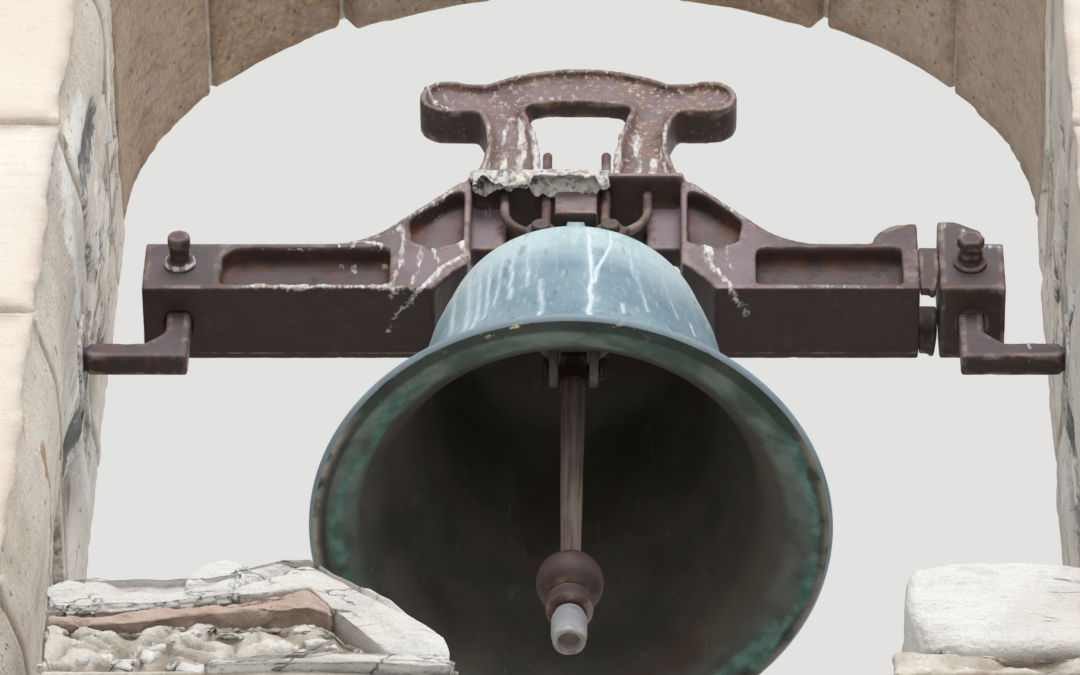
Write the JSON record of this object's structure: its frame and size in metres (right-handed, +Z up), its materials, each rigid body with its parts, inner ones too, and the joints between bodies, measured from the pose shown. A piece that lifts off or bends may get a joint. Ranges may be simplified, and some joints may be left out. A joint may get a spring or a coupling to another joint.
{
  "type": "arched stone bell opening with a swinging bell",
  "caption": "Bay of a stone belfry: an arched opening with a bronze bell hung in a cast-iron headstock that turns on cranked gudgeons in the jambs.",
  "frame": {"origin": "middle of the wall's foot, on the ground", "axes": "+Z up, +X to the right along the wall seen from the front, +Y into the wall, away from the front"},
  "size_m": [2.2, 0.7, 3.599],
  "materials": {
    "ashlar": "weathered",
    "arch_stone": "weathered",
    "mortar": "rough",
    "bronze": "patinated",
    "cast_iron": "weathered",
    "rusty_iron": "rusted",
    "worn_iron": "worn",
    "wood": "weathered"
  },
  "bodies": {
    "masonry": {"base_wall": "ashlar", "sill_course": "ashlar", "left_pier": "ashlar", "right_pier": "ashlar", "left_spandrel": "ashlar", "right_spandrel": "ashlar", "top_course": "ashlar", "left_broken_stone": "ashlar", "right_loose_block": "ashlar", "left_springer": "arch_stone", "left_haunch": "arch_stone", "left_shoulder": "arch_stone", "keystone": "arch_stone", "right_shoulder": "arch_stone", "right_haunch": "arch_stone", "right_springer": "arch_stone", "left_rubble": "mortar", "right_mortar_bed": "mortar", "left_bearing": "cast_iron", "right_bearing": "cast_iron"},
    "bell": {"bell_shell": "bronze", "bell_crown": "bronze", "headstock_beam": "cast_iron", "crown_handle": "cast_iron", "right_end_block": "cast_iron", "left_gudgeon": "cast_iron", "right_gudgeon": "cast_iron", "end_link": "rusty_iron", "left_clamp_bolt": "rusty_iron", "right_clamp_bolt": "rusty_iron", "left_crown_pin": "rusty_iron", "right_crown_pin": "rusty_iron", "front_left_hanger": "rusty_iron", "front_right_hanger": "rusty_iron", "rear_left_hanger": "rusty_iron", "rear_right_hanger": "rusty_iron", "clapper_pin": "rusty_iron", "clapper_hanger": "worn_iron"},
    "clapper": {"clapper_head": "rusty_iron", "clapper_shaft": "wood", "clapper_ball": "rusty_iron", "clapper_collar": "rusty_iron", "clapper_tail": "worn_iron"}
  },
  "joints": [
    {"name": "bell_swing", "type": "hinge", "parent": "masonry", "child": "bell", "pos_m": [0, 0, 1.699], "axis": [1, 0, 0], "continuous": true},
    {"name": "clapper_swing", "type": "hinge", "parent": "bell", "child": "clapper", "pos_m": [0, 0, 1.675], "axis": [1, 0, 0], "range_deg": [-33, 33]}
  ]
}
